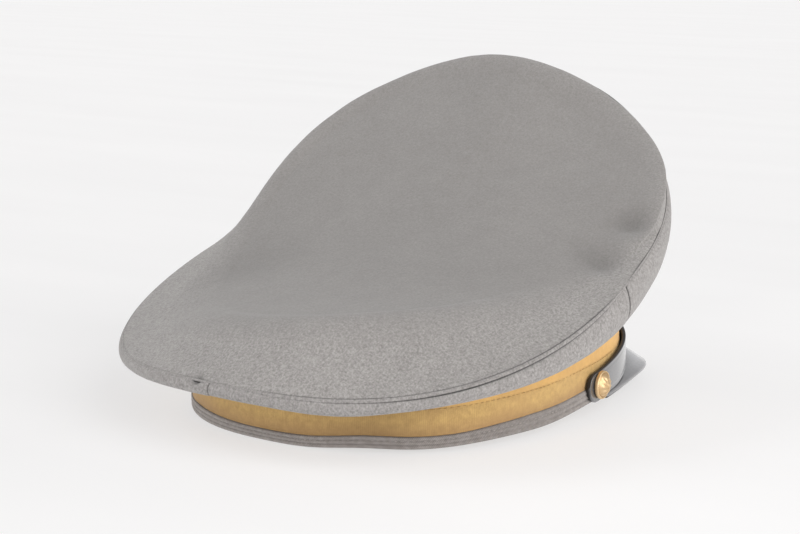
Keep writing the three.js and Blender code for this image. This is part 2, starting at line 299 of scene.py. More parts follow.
def top_point(turn, share):
    """Dished top, from its middle at 0 to the crest at 1: a skin stretched over the crest."""
    flat = point_at(turn, section("crest_out", turn), 0.0)[..., :2] * np.asarray(share)[..., None]
    plane = FALL_BACK * flat[..., 1] + FALL_ASIDE * flat[..., 0]
    up = plane + wave_sum(CREST_RIPPLES, turn, share) - CROWN_SAG * (1 - share**2)
    return np.concatenate([flat, up[..., None]], -1)


def crest_point(turn, share):
    """Soft turn from the margin into the top, through the crest."""
    start = margin_point(turn, CREST_STARTS_AT)
    end = top_point(turn, np.full_like(turn, CREST_ENDS_AT))
    middle = top_point(turn, np.ones_like(turn))
    return bezier([start, 2 * middle - (start + end) / 2, end], share[..., None])


# From the band's frame to the surface that the cap rests on
def leant(points):
    x, y, z = np.moveaxis(np.asarray(points, float), -1, 0)
    y = y - HEAD_HALF_LENGTH
    back = y * math.cos(REST_TILT) + z * math.sin(REST_TILT) + HEAD_HALF_LENGTH
    return np.stack([x, back, z * math.cos(REST_TILT) - y * math.sin(REST_TILT)], -1) * MM


def band_out(up):
    return BAND_LEAN * up / BAND_HEIGHT


def origin_from_band():
    """Where the band's frame lies, from the lowest corner of the band's box."""
    turns = turns_round(CAD_COLUMNS)
    low = BINDING_HEIGHT + GAP
    rings = [
        point_at(turns, band_out(up) - depth, up)
        for up in (low, BAND_HEIGHT)
        for depth in (0, BAND_THICKNESS)
    ]
    return np.array(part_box("band")[0]) - leant(np.concatenate(rings)).min(axis=0)


ORIGIN = origin_from_band()


# Meshes from grids of points
def grid_mesh(
    name, rings, close_rows, finishes, around=None, across=None, row_finish=None, marks=None
):
    """A closed mesh from rows x columns of points. Columns that are not closed end in a line,
    where what lies together is merged. around and across are lengths for the UV map, and marks
    are named values of the points that the finishes read."""
    close_columns = around is None or len(around) == rings.shape[1] + 1
    rows, columns = rings.shape[:2]
    number = np.arange(rows * columns).reshape(rows, columns)
    if close_rows:
        number = np.concatenate([number, number[:1]])
    if close_columns:
        number = np.concatenate([number, number[:, :1]], axis=1)
    faces = np.stack([number[:-1, :-1], number[:-1, 1:], number[1:, 1:], number[1:, :-1]], -1)
    mesh = bpy.data.meshes.new(name)
    points = leant(rings.reshape(-1, 3)) + ORIGIN
    mesh.from_pydata(points.tolist(), [], faces.reshape(-1, 4).tolist())
    if around is not None:
        u, v = np.meshgrid(np.asarray(around) * MM, np.asarray(across) * MM)
        uv = np.stack([u, v], -1)
        corners = np.stack([uv[:-1, :-1], uv[:-1, 1:], uv[1:, 1:], uv[1:, :-1]], 2)
        mesh.uv_layers.new(name="Lengths").uv.foreach_set("vector", corners.ravel())
    if row_finish is not None:
        index = np.repeat(row_finish, faces.shape[1]).astype(np.int32)
        mesh.polygons.foreach_set("material_index", index)
    for mark, values in (marks or {}).items():
        mesh.attributes.new(mark, "FLOAT", "POINT").data.foreach_set("value", values.ravel())
    return finished(name, mesh, finishes)


def finished(name, mesh, finishes):
    """Merges what lies together, turns the faces out, and makes the piece."""
    work = bmesh.new()
    work.from_mesh(mesh)
    bmesh.ops.remove_doubles(work, verts=work.verts, dist=MERGE_WITHIN * MM)
    bmesh.ops.recalc_face_normals(work, faces=work.faces)
    for face in work.faces:
        face.smooth = True
    work.to_mesh(mesh)
    work.free()
    for finish in finishes:
        mesh.materials.append(finish)
    piece = bpy.data.objects.new(name, mesh)
    bpy.context.scene.collection.objects.link(piece)
    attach(piece, "root")
    return piece


def unit(vectors):
    return vectors / np.maximum(np.linalg.norm(vectors, axis=-1, keepdims=True), 1e-9)


def outward(grid, closed):
    """Directions out of a grid whose rows go up and whose columns go to the wearer's left."""
    if closed:
        along = np.roll(grid, -1, axis=1) - np.roll(grid, 1, axis=1)
    else:
        along = np.gradient(grid, axis=1)
    return unit(np.cross(along, np.gradient(grid, axis=0)))


def uneven(grid, sizes_and_heights, seed):
    """How far each point of a grid stands proud, from smooth noise of several sizes."""
    total = np.zeros(grid.shape[:2])
    flat = grid.reshape(-1, 3)
    for size, height in sizes_and_heights:
        values = [noise.noise(Vector(p) / size + Vector((seed, 0, 0))) for p in flat]
        total += height * np.reshape(values, grid.shape[:2])
    return total


# Angles of the rows that carry a cloth round its edge, and how much painted shade those rows
# carry in the seam at the edge of a side panel and of the top
EDGE_ROUND = np.linspace(0, np.pi, 7)[1:-1]
PANEL_SEAM_SHADE = np.sin(EDGE_ROUND) ** 1.28
TOP_SEAM_SHADE = np.sin(EDGE_ROUND) ** 0.96


def round_edge(middle, off, away):
    """Rows that carry a cloth round its edge, from its face to its back."""
    return [middle + off * math.cos(a) + away * math.sin(a) for a in EDGE_ROUND]


def disc_of_cloth(face, thickness):
    """Rings of a cloth that closes in the middle, from the middle of its face, round its edge
    and back. The face's rows go from the edge to the middle."""
    off = outward(face, True) * thickness / 2
    off[-1] = off[-2].mean(axis=0)
    middle = face - off
    away = unit(face[0] - face[1]) * thickness / 2
    rows = [*(middle + off)[::-1], *round_edge(middle[0], off[0], away), *(middle - off)]
    return np.array(rows)


def strip_of_cloth(face, thickness):
    """Rings of a cloth with four edges, all of them round, as rows x columns, and how much painted
    shade each point carries in the seam at the cloth's upper edge and sides, from 0 to 1."""
    off = outward(face, False) * thickness / 2
    middle = face - off
    left, right = (unit(middle[:, a] - middle[:, b]) for a, b in ((0, 1), (-1, -2)))
    columns, shades = [], []
    turns_out = np.linspace(0, np.pi / 2, 4)[1:]
    rows = len(face)
    shade = np.concatenate([np.zeros(rows), PANEL_SEAM_SHADE, np.zeros(rows + len(EDGE_ROUND))])
    sources = [(0, left, a) for a in turns_out[::-1]]
    sources += [(c, left, 0.0) for c in range(face.shape[1])]
    sources += [(face.shape[1] - 1, right, a) for a in turns_out]
    for column, side, angle in sources:
        shrink = math.cos(angle)
        line = middle[:, column] + side * math.sin(angle) * thickness / 2
        thick = off[:, column] * shrink
        top = unit(line[-1] - line[-2]) * shrink * thickness / 2
        foot = unit(line[0] - line[1]) * shrink * thickness / 2
        loop = [*(line + thick), *round_edge(line[-1], thick[-1], top)]
        loop += [*(line - thick)[::-1], *round_edge(line[0], -thick[0], foot)]
        columns.append(loop)
        shades.append(np.maximum(shade, math.sin(angle) ** 2))
    return np.array(columns).swapaxes(0, 1), np.array(shades).T


def lengths_along(points):
    steps = np.linalg.norm(np.diff(points, axis=0), axis=-1)
    return np.concatenate([[0], np.cumsum(steps)])


def sweep(name, turns, sections, close_columns, finishes, row_finish=None, marks=None):
    """A closed section swept round the band. sections is rows x columns x (out, up)."""
    rings = point_at(turns, sections[..., 0], sections[..., 1])
    row = rings[0] if not close_columns else np.concatenate([rings[0], rings[0][:1]])
    across = sections[:, sections.shape[1] // 2, 1]
    across = np.concatenate([across, across[:1]])
    around = lengths_along(row)
    return grid_mesh(name, rings, True, finishes, around, across, row_finish, marks)


# Finishes
def new_finish(name, **fixed):
    """A material with its shader, whose even values are set on the shader itself."""
    made = bpy.data.materials.new(name)
    made.use_nodes = True
    tree = made.node_tree
    shader = tree.nodes["Principled BSDF"]
    for socket, value in fixed.items():
        shader.inputs[socket.replace("_", " ")].default_value = value
    return made, tree, shader


def add(tree, kind, inputs, output=0, **settings):
    """A node with its inputs set or linked. Returns one of its outputs."""
    made = tree.nodes.new(kind)
    for key, value in settings.items():
        setattr(made, key, value)
    for socket, value in inputs.items():
        if isinstance(value, bpy.types.NodeSocket):
            tree.links.new(value, made.inputs[socket])
        else:
            made.inputs[socket].default_value = value
    return made.outputs[output]


def place(tree):
    return add(tree, "ShaderNodeTexCoord", {}, "Object")


def stretched(tree, vector, scale, rotation=(0, 0, 0)):
    inputs = {"Vector": vector, "Scale": scale, "Rotation": rotation}
    return add(tree, "ShaderNodeMapping", inputs)


def speckle(tree, vector, scale, detail=2.0, roughness=0.5):
    inputs = {"Vector": vector, "Scale": scale, "Detail": detail, "Roughness": roughness}
    return add(tree, "ShaderNodeTexNoise", inputs)


def maths(tree, operation, a, b=0.0, c=0.0):
    return add(tree, "ShaderNodeMath", {0: a, 1: b, 2: c}, operation=operation)


def spread(tree, value, low, high, to_low=0.0, to_high=1.0):
    """A value moved from one range to another, and held there."""
    inputs = {"Value": value, "From Min": low, "From Max": high, "To Min": to_low, "To Max": to_high}
    return add(tree, "ShaderNodeMapRange", inputs)


def mix(tree, share, a, b, blend="MIX"):
    """Two colours mixed. The node's colours are its sockets 6 and 7, and its output 2."""
    colours = [(*c, 1) if isinstance(c, tuple) else c for c in (a, b)]
    inputs = {0: share, 6: colours[0], 7: colours[1]}
    return add(tree, "ShaderNodeMix", inputs, 2, data_type="RGBA", blend_type=blend)


def bump(tree, height, distance, strength=1.0, under=None):
    inputs = {"Height": height, "Distance": distance * MM, "Strength": strength}
    if under is not None:
        inputs["Normal"] = under
    return add(tree, "ShaderNodeBump", inputs)


def threads(tree, value, length):
    """A wave of 0 to 1 across threads of that spacing in millimetres."""
    wave = maths(tree, "SINE", maths(tree, "MULTIPLY", value, 2 * math.pi / (length * MM)))
    return maths(tree, "MULTIPLY_ADD", wave, 0.5, 0.5)


def mark(tree, name):
    """A value that the mesh carries on its points, or 0 where it carries none."""
    return add(tree, "ShaderNodeAttribute", {}, "Fac", attribute_name=name)


def grey(tree, tone):
    return add(tree, "ShaderNodeCombineColor", {0: tone, 1: tone, 2: tone})


def shaded(tree, colour, shade, darkest):
    """A colour darkened towards a share of itself, for painted thread shadow and painted shade in a
    seam.
    """
    tone = spread(tree, shade, 0.0, 1.0, 1.0, darkest)
    return mix(tree, 1.0, colour, grey(tree, tone), "MULTIPLY")


def wool(name, dark, light):
    """Heathered wool cloth: fine light and dark fibres, soft blotches and a fulled surface. The
    fibres are pressed smooth where the cloth is marked calm, and painted shade darkens it there
    and in its seams."""
    made, tree, shader = new_finish(
        name, Roughness=0.92, Specular_IOR_Level=0.2, Sheen_Weight=0.2, Sheen_Roughness=0.6
    )
    here = place(tree)
    fleck = speckle(tree, here, 1250, 3, 0.7)
    leaning = stretched(tree, here, (620, 1250, 800), (0.5, 0.4, 0.7))
    rising = stretched(tree, here, (1250, 640, 560), (-0.4, 0.6, 0.2))
    strands = maths(tree, "ADD", speckle(tree, leaning, 1), speckle(tree, rising, 1))
    fibres = maths(tree, "MULTIPLY_ADD", strands, 0.28, maths(tree, "MULTIPLY", fleck, 0.44))
    calm_and_shaded = mark(tree, "calm_and_shaded")
    keen = spread(tree, calm_and_shaded, 0.0, 1.0, 1.0, 0.42)
    eager = maths(tree, "SUBTRACT", spread(tree, fibres, 0.38, 0.62), 0.5)
    share = maths(tree, "MULTIPLY_ADD", eager, keen, 0.5)
    blotch = spread(tree, speckle(tree, here, 110, 3), 0.35, 0.65, 0.975, 1.022)
    cloud = spread(tree, speckle(tree, here, 17, 2), 0.35, 0.65, 0.972, 1.028)
    colour = mix(tree, share, dark, light)
    tone = maths(tree, "MULTIPLY", blotch, cloud)
    colour = mix(tree, 1.0, colour, grey(tree, tone), "MULTIPLY")
    # Painted shade: the top, marked calm and shaded, is darkened to 0.81 of its colour
    colour = shaded(tree, colour, calm_and_shaded, 0.81)
    # Painted shade in the seams, the dents and the tuck
    colour = shaded(tree, colour, mark(tree, "seam"), 0.1)
    tree.links.new(colour, shader.inputs["Base Color"])
    nap = bump(tree, share, 0.16, 0.5)
    fine = bump(tree, speckle(tree, here, 2600, 2), 0.06, 0.5, nap)
    tree.links.new(fine, shader.inputs["Normal"])
    return made


def lengths(tree):
    """Metres along the band and up it, from the UV map."""
    made = tree.nodes.new("ShaderNodeSeparateXYZ")
    tree.links.new(add(tree, "ShaderNodeUVMap", {}, uv_map="Lengths"), made.inputs[0])
    return made.outputs[0], made.outputs[1]


def gold_braid():
    """Mustard braid: uneven upright ribs crossed by fine threads, warmer above the stitches,
    with painted shade towards its foot.
    """
    made, tree, shader = new_finish(
        "gold_braid", Roughness=0.75, Specular_IOR_Level=0.3, Sheen_Weight=0.25, Sheen_Roughness=0.4
    )
    dark, light = (0.42, 0.265, 0.098), (0.70, 0.465, 0.177)
    amber, soil, foot_shadow = (0.80, 0.456, 0.149), (0.46, 0.28, 0.12), (0.30, 0.17, 0.08)
    along, up = lengths(tree)
    here = place(tree)
    wander = maths(tree, "MULTIPLY_ADD", speckle(tree, here, 260, 3), 0.0016, along)
    ribs = threads(tree, wander, 0.8)
    cross = threads(tree, maths(tree, "MULTIPLY_ADD", speckle(tree, here, 300), 0.0008, up), 0.5)
    weave = maths(tree, "MULTIPLY_ADD", ribs, 0.6, maths(tree, "MULTIPLY", cross, 0.4))
    mottle = speckle(tree, here, 320, 4, 0.75)
    share = maths(tree, "MULTIPLY_ADD", weave, 0.22, maths(tree, "MULTIPLY", mottle, 0.85))
    colour = mix(tree, spread(tree, share, 0.3, 0.78), dark, light)
    seam = BRAID_SEAM_UP * MM
    warm = spread(tree, up, seam - 0.0004, seam + 0.0012)
    colour = mix(tree, maths(tree, "MULTIPLY", warm, 0.55), colour, amber)
    soiled = spread(tree, speckle(tree, here, 34, 3), 0.42, 0.68, 0.0, 0.4)
    colour = mix(tree, soiled, colour, soil)
    # Painted shadow line: the braid is darkened towards its foot, just above the tape
    foot = spread(tree, up, 0.0062, 0.0120, 0.55, 0.0)
    colour = mix(tree, foot, colour, foot_shadow)
    # Painted shadow under the crown's belly, where the band is marked
    colour = shaded(tree, colour, mark(tree, "seam"), 0.3)
    tree.links.new(colour, shader.inputs["Base Color"])
    worn = bump(tree, mottle, 0.12, 0.5)
    tree.links.new(bump(tree, weave, 0.10, 0.5, worn), shader.inputs["Normal"])
    return made


def grey_binding():
    """Stitched tape: fine slanting threads on rolled ridges, with painted shade between the ridges.
    """
    made, tree, shader = new_finish(
        "grey_binding", Roughness=0.85, Specular_IOR_Level=0.25, Sheen_Weight=0.2
    )
    dark, light = (0.214, 0.189, 0.178), (0.418, 0.386, 0.363)
    along, up = lengths(tree)
    here = place(tree)
    ply = threads(tree, maths(tree, "MULTIPLY_ADD", up, 0.7, along), 0.8)
    mottle = speckle(tree, here, 420, 4, 0.7)
    share = maths(tree, "MULTIPLY_ADD", ply, 0.28, maths(tree, "MULTIPLY", mottle, 0.85))
    colour = mix(tree, spread(tree, share, 0.3, 0.85), dark, light)
    # Painted shade between the ridges and where the tape is marked darker
    colour = shaded(tree, colour, mark(tree, "seam"), 0.7)
    tree.links.new(colour, shader.inputs["Base Color"])
    rough = bump(tree, mottle, 0.12, 0.5)
    tree.links.new(bump(tree, ply, 0.12, 0.6, rough), shader.inputs["Normal"])
    return made


def sewing_thread(name, dark, light):
    """Twisted thread."""
    made, tree, shader = new_finish(name, Roughness=0.6, Specular_IOR_Level=0.35)
    here = place(tree)
    twist = speckle(tree, stretched(tree, here, (1400, 1400, 3800)), 1, 2)
    colour = mix(tree, spread(tree, twist, 0.3, 0.7), dark, light)
    tree.links.new(colour, shader.inputs["Base Color"])
    tree.links.new(bump(tree, twist, 0.06, 0.6), shader.inputs["Normal"])
    return made


def patent_leather(name, dark, light):
    """Lacquered leather, slightly wavy, with fine rubbing and dust, and worn dull at its rim."""
    made, tree, shader = new_finish(
        name, Specular_IOR_Level=0.6, Coat_Roughness=0.16, Coat_IOR=1.6
    )
    here = place(tree)
    lacquer = spread(tree, mark(tree, "rim"), 0.0, 1.0, 0.9, 0.1)
    tree.links.new(lacquer, shader.inputs["Coat Weight"])
    dust = spread(tree, speckle(tree, here, 55, 5, 0.7), 0.4, 0.75)
    tree.links.new(mix(tree, dust, dark, light), shader.inputs["Base Color"])
    rubbed = speckle(tree, stretched(tree, here, (220, 1900, 900), (0, 0, 0.6)), 1, 3)
    tree.links.new(spread(tree, rubbed, 0.35, 0.75, 0.12, 0.28), shader.inputs["Roughness"])
    wavy = bump(tree, speckle(tree, here, 70, 2), 0.08, 0.5)
    tree.links.new(bump(tree, rubbed, 0.01, 0.3, wavy), shader.inputs["Normal"])
    return made


def black_leather(name, rough):
    """Grained black leather, rubbed in patches."""
    made, tree, shader = new_finish(name, Specular_IOR_Level=0.5)
    here = place(tree)
    inputs = {"Vector": here, "Scale": 900.0, "Randomness": 1.0}
    grain = add(tree, "ShaderNodeTexVoronoi", inputs, feature="SMOOTH_F1")
    rubbed = spread(tree, speckle(tree, here, 130, 4, 0.7), 0.45, 0.75)
    colour = mix(tree, rubbed, (0.014, 0.013, 0.013), (0.045, 0.040, 0.038))
    tree.links.new(colour, shader.inputs["Base Color"])
    gloss = spread(tree, rubbed, 0.0, 1.0, rough, rough + 0.15)
    tree.links.new(gloss, shader.inputs["Roughness"])
    wrinkles = bump(tree, speckle(tree, here, 260, 3), 0.10, 0.5)
    tree.links.new(bump(tree, grain, 0.09, 0.5, wrinkles), shader.inputs["Normal"])
    return made


def worn_gilt():
    """Gilt metal, browned in the hollows, tarnished in patches and finely scuffed."""
    made, tree, shader = new_finish("worn_gilt", Metallic=0.85)
    here = place(tree)
    pointed = add(tree, "ShaderNodeNewGeometry", {}, "Pointiness")
    high = spread(tree, pointed, 0.45, 0.54)
    tarnish = spread(tree, speckle(tree, here, 420, 4, 0.7), 0.35, 0.7)
    bright, dull, browned = (0.90, 0.69, 0.42), (0.74, 0.52, 0.28), (0.42, 0.26, 0.12)
    colour = mix(tree, high, browned, mix(tree, tarnish, bright, dull))
    tree.links.new(colour, shader.inputs["Base Color"])
    tree.links.new(spread(tree, tarnish, 0.0, 1.0, 0.42, 0.55), shader.inputs["Roughness"])
    scuffs = speckle(tree, stretched(tree, here, (900, 3600, 1500), (0.3, 0.9, 0.2)), 1, 3)
    tree.links.new(bump(tree, scuffs, 0.03, 0.5), shader.inputs["Normal"])
    return made


WOOL_TOP = wool("wool_top", (0.214, 0.202, 0.194), (0.394, 0.377, 0.365))
WOOL_SIDE = wool("wool_side", (0.205, 0.193, 0.186), (0.385, 0.367, 0.357))
BRAID = gold_braid()
BINDING = grey_binding()
THREAD = sewing_thread("brown_thread", (0.34, 0.21, 0.08), (0.58, 0.37, 0.15))
GREY_THREAD = sewing_thread("grey_thread", (0.20, 0.18, 0.165), (0.42, 0.39, 0.36))
PATENT = patent_leather("visor_lacquer", (0.19, 0.188, 0.194), (0.245, 0.242, 0.247))
VISOR_BACK = black_leather("visor_back", 0.55)
STRAP_FACE = patent_leather("strap_lacquer", (0.08, 0.079, 0.083), (0.12, 0.118, 0.122))
STRAP_EDGE = black_leather("strap_edge", 0.5)
GILT = worn_gilt()


# Crown
def bumps(turn, rows):
    """Each row's share of itself at a turn, from rows of angle, half width in degrees and size."""
    for angle, width, size in rows:
        off = np.angle(np.exp(1j * (turn - math.radians(angle))))
        yield size * swell(off, math.radians(width))


def welt_standing(turn):
    """How far the welt stands out of the seam, from 1 down towards 0 where it is pressed flat."""
    standing = np.ones_like(turn)
    for flat in bumps(turn, WELT_FLAT_AT):
        standing *= 1 - flat
    return standing


def welt_radius(turn):
    return WELT_PRESSED + (WELT_STANDING - WELT_PRESSED) * welt_standing(turn)


def welt_point(turn):
    return point_at(turn, section("welt_out", turn), section("welt_up", turn))


def beside_welt(turn, neighbour, before=0.0):
    """Where a cloth's face ends beside the welt, or a little before its end, on its way from a
    neighbouring point."""
    welt = welt_point(turn)
    beside = welt_radius(turn) + SEAM_OPEN + before
    return welt + unit(neighbour - welt) * beside[..., None]


def welt_shade(turn, faint_at):
    """How dark the seam beside the welt is, from 1 down towards 0 where its shadow is faint."""
    shade = np.ones_like(turn)
    for faint in bumps(turn, faint_at):
        shade *= 1 - faint
    return shade


def upper_shade(turn):
    return welt_shade(turn, SEAM_FAINT_AT)


def lower_shade(turn):
    return welt_shade(turn, SEAM_FAINT_AT + LOWER_FAINT_AT)


def near_tuck(grid):
    """1 at the tuck beside the back seam, and falling away from it."""
    angle, radius, _ = BACK_TUCK
    turn = np.array(math.radians(angle))
    return swell(np.linalg.norm(grid - welt_point(turn), axis=-1), radius)


def dents(grid):
    """How deep each point lies in the soft dents of the top."""
    total = np.zeros(grid.shape[:-1])
    for angle, share, radius, depth in TOP_DENTS:
        centre = top_point(np.array(math.radians(angle)), np.array(share))
        distance = np.hypot(grid[..., 0] - centre[0], grid[..., 1] - centre[1])
        total += depth * swell(distance, radius)
    return total


def softened(grid, turn, closed, seed):
    """The unevenness of soft cloth, which fades beside the welt, and the tuck at the back."""
    off = outward(grid, closed)
    if closed:
        off[-1] = off[-2].mean(axis=0)
    from_seam = np.linalg.norm(grid - welt_point(turn), axis=-1)
    proud = uneven(grid, UNEVENNESS, seed) * (1 - swell(from_seam, SEWN_FLAT))
    if closed:
        proud[-1] = proud[-2].mean()
    proud -= BACK_TUCK[2] * near_tuck(grid)
    return grid + off * proud[..., None]


def crown_top():
    """The tip of the crown: its margin above the welt, the crest and the dished top."""
    turn = turns_round(320)
    from_edge = (0.0, 0.45, 1.2)
    margin_from_edge = 1.6
    margin = np.linalg.norm(margin_profile(turn, 1.0) - margin_profile(turn, 0.0), axis=-1)
    first = (welt_radius(turn) + SEAM_OPEN + margin_from_edge) / margin
    parts = np.linspace(0, 1, 17)[:-1]
    margin_shares = [first + (CREST_STARTS_AT - first) * part for part in parts]
    crest_shares = np.linspace(0, 1, 25)
    top_shares = CREST_ENDS_AT * np.linspace(1, 0, 49)[1:] ** 0.9
    neighbour = margin_point(turn, MARGIN_NEAR_WELT)
    grid = np.array([
        *[beside_welt(turn, neighbour, before) for before in from_edge],
        *[margin_point(turn, share) for share in margin_shares],
        *[crest_point(turn, np.full_like(turn, share)) for share in crest_shares],
        *[top_point(turn, np.full_like(turn, share)) for share in top_shares],
    ])
    # The top is marked calm and shaded: its fibres show less contrast, and painted shade darkens it
    margin_calm_and_shaded = np.zeros(len(from_edge) + len(margin_shares))
    calm_and_shaded = np.concatenate([margin_calm_and_shaded, crest_shares**0.7, np.ones(len(top_shares))])
    calm_and_shaded = np.concatenate([calm_and_shaded[::-1], np.zeros(len(EDGE_ROUND)), calm_and_shaded])
    grid[..., 2] -= dents(grid)
    grid = softened(grid, turn, True, seed=3.1)
    rings = disc_of_cloth(grid, CLOTH)
    flat = np.zeros(len(grid))
    # Painted shade in the seam along the top's rounded edge, faint where the welt's shadow is faint,
    # and at the tuck
    depth = np.concatenate([flat, TOP_SEAM_SHADE, flat])[:, None]
    # Painted shade in the dents, darker where they are deeper
    painted_dent_shade = DENT_SHADE * dents(rings)
    marks = {
        "seam": np.maximum(depth * upper_shade(turn), near_tuck(rings)) + painted_dent_shade,
        "calm_and_shaded": np.repeat(calm_and_shaded, len(turn)),
    }
    piece = grid_mesh("crown_tip", rings, False, [WOOL_TOP], marks=marks)
    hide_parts("crown_top")


def quarter(name, node, from_angle, to_angle, seed):
    """One side panel with round sewn edges."""
    off_seam = 0.44
    columns_per_degree = 1.15
    columns = int(round((to_angle - from_angle) * columns_per_degree))
    turn = np.radians(np.linspace(from_angle + off_seam, to_angle - off_seam, columns))
    upper_half = np.array([panel_point(turn, share) for share in np.linspace(0.5, 1, 21)])
    length = np.linalg.norm(np.diff(upper_half, axis=0), axis=-1).sum(axis=0)
    foot = 0.035
    last_from_edge = 0.5
    last = 1 - (welt_radius(turn) + SEAM_OPEN + last_from_edge) / (2 * length)
    shares = foot + (last - foot) * np.linspace(0, 1, 46)[:, None]
    grid = np.array([
        *[panel_point(turn, share) for share in shares],
        beside_welt(turn, panel_point(turn, PANEL_NEAR_WELT)),
    ])
    hang = np.append(np.sin(np.pi * shares) ** 1.2, np.zeros((1, columns)), axis=0)
    grid[..., 2] += hang * sum(bumps(turn, BELLY_FOLDS))
    grid = softened(grid, turn, False, seed)
    rings, shades = strip_of_cloth(grid, CLOTH)
    ends = (rings.shape[1] - columns) // 2
    beside = lower_shade(np.pad(turn, ends, "edge"))
    side_shades = [SIDE_SEAM_SHADES[abs(angle)] for angle in (from_angle, to_angle)]
    is_side = np.pad(np.zeros(columns), ends, constant_values=side_shades)
    # Painted shade in the seams at the panel's upper edge and sides, fainter at the back seam, and at
    # the tuck
    marks = {"seam": np.maximum(shades * np.maximum(beside, is_side), near_tuck(rings))}
    around, across = np.arange(rings.shape[1]), np.arange(rings.shape[0] + 1)
    piece = grid_mesh(
        name, rings, True, [WOOL_SIDE], around, across, None, marks
    )
    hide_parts(node)


def crown_welt():
    """The piping round the edge of the crown."""
    turn = turns_round(480)
    angles = turns_round(20)
    radius = welt_radius(turn)[:, None]
    sink = 0.5
    way = unit(margin_profile(turn, 0.1) - panel_profile(turn, PANEL_NEAR_WELT))
    away = np.stack([way[:, 1], -way[:, 0]], -1)
    centre = margin_profile(turn, 0.0) - away * sink
    sections = np.array([
        centre + radius * (away * math.cos(a) + way * math.sin(a)) for a in angles
    ])
    # Its back and the edges of its face lie in the seam's shadow
    behind = np.cos(angles) < -0.2
    upper = np.where(behind, 1.0, np.interp(np.sin(angles), [0.45, 0.75], [0, 1]))
    lower = np.where(behind, 0.0, np.interp(-np.sin(angles), [0.8, 1.0], [0, 1]))
    shade = upper[:, None] * upper_shade(turn) + lower[:, None] * lower_shade(turn)
    piece = sweep(
        "crown_piping", turn, sections, True, [WOOL_SIDE], marks={"seam": shade}
    )
    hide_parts("crown_welt")


# Band
def loop_of(corners, radius, steps, along):
    """Points round a closed outline with round corners and evenly divided sides."""
    corners = [np.array(c, float) for c in corners]
    points = []
    for i, corner in enumerate(corners):
        before, after = corners[i - 1], corners[(i + 1) % len(corners)]
        start = corner + (before - corner) / np.linalg.norm(before - corner) * radius
        end = corner + (after - corner) / np.linalg.norm(after - corner) * radius
        for s in np.linspace(0, 1, steps + 1):
            points.append((1 - s) ** 2 * start + 2 * s * (1 - s) * corner + s**2 * end)
        following = after + (corner - after) / np.linalg.norm(after - corner) * radius
        count = int(np.linalg.norm(following - end) // along)
        points += [end + (following - end) * k / (count + 1) for k in range(1, count + 1)]
    return np.array(points)


def worn_up(turn, up):
    """Where a height on the straight band lies on the worn one, whose tape is wider at the sides
    and whose lower edge bows up at one place and down at another."""
    off_front = np.abs(np.angle(np.exp(1j * turn), deg=True))
    tape = np.interp(off_front, TAPE_ANGLES, TAPE_HEIGHTS)
    wider = (tape - BINDING_HEIGHT) * np.interp(up, [0, BINDING_HEIGHT, BRAID_SEAM_UP], [0, 1, 0])
    bow = sum(bumps(turn, BAND_BOWS)) * (1 - up / BAND_HEIGHT)
    return up + wider + bow


def all_round(outline, turn):
    """An outline swept round the worn band."""
    sections = np.repeat(outline[:, None, :], len(turn), axis=1)
    sections[..., 1] = worn_up(turn, sections[..., 1])
    return sections


def band():
    """The braid band, with the groove that its line of stitches pulls in."""
    turn = turns_round(360)
    low = BINDING_HEIGHT + 0.1
    outline = loop_of([
        (band_out(low), low),
        (band_out(BAND_HEIGHT), BAND_HEIGHT),
        (band_out(BAND_HEIGHT) - BAND_THICKNESS, BAND_HEIGHT),
        (band_out(low) - BAND_THICKNESS, low),
    ], 0.45, 4, 0.55)
    outside = outline[:, 0] > band_out(outline[:, 1]) - 0.2
    groove = 0.2 * swell(outline[:, 1] - BRAID_SEAM_UP, 0.55)
    hem_up = 0.9
    hem = 0.22 * swell(outline[:, 1] - low - hem_up, 0.5)
    outline[:, 0] -= np.where(outside, groove + hem, 0)
    sections = all_round(outline, turn)
    wavy = 0.12 * np.sin(turn * 11) + 0.10 * np.sin(turn * 23 + 1.3)
    sections[..., 0] += np.where(outside, 1.0, 0.0)[:, None] * wavy
    # Painted shadow: the braid is darkened under the crown's low belly
    marks = {"seam": np.tile(sum(bumps(turn, BRAID_SHADOWED_AT)), (len(outline), 1))}
    piece = sweep("head_band", turn, sections, True, [BRAID], marks=marks)
    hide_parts("band")


def band_binding():
    """The grey tape under the band, in three rolled ridges."""
    turn = turns_round(360)
    ridges = 3
    height = BINDING_HEIGHT
    face = []
    groove = 0.42
    for step in np.linspace(0, 1, 31):
        ridge = abs(math.sin(step * ridges * math.pi)) ** 0.8
        face.append((BINDING_PROUD - groove + groove * ridge, height * step))
    back = [(-BAND_THICKNESS, height * step) for step in np.linspace(1, 0, 6)]
    sections = all_round(np.array(face + back), turn)
    # Painted shade: darker in the grooves between the ridges, on the wearer's right and under the
    # belly
    depth = [((BINDING_PROUD - out) / groove) ** 1.5 for out, _ in face] + [0.0] * len(back)
    marks = {"seam": np.array(depth)[:, None] + sum(bumps(turn, TAPE_SHADOWED_AT))}
    piece = sweep("band_tape", turn, sections, True, [BINDING], marks=marks)
    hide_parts("band_binding")


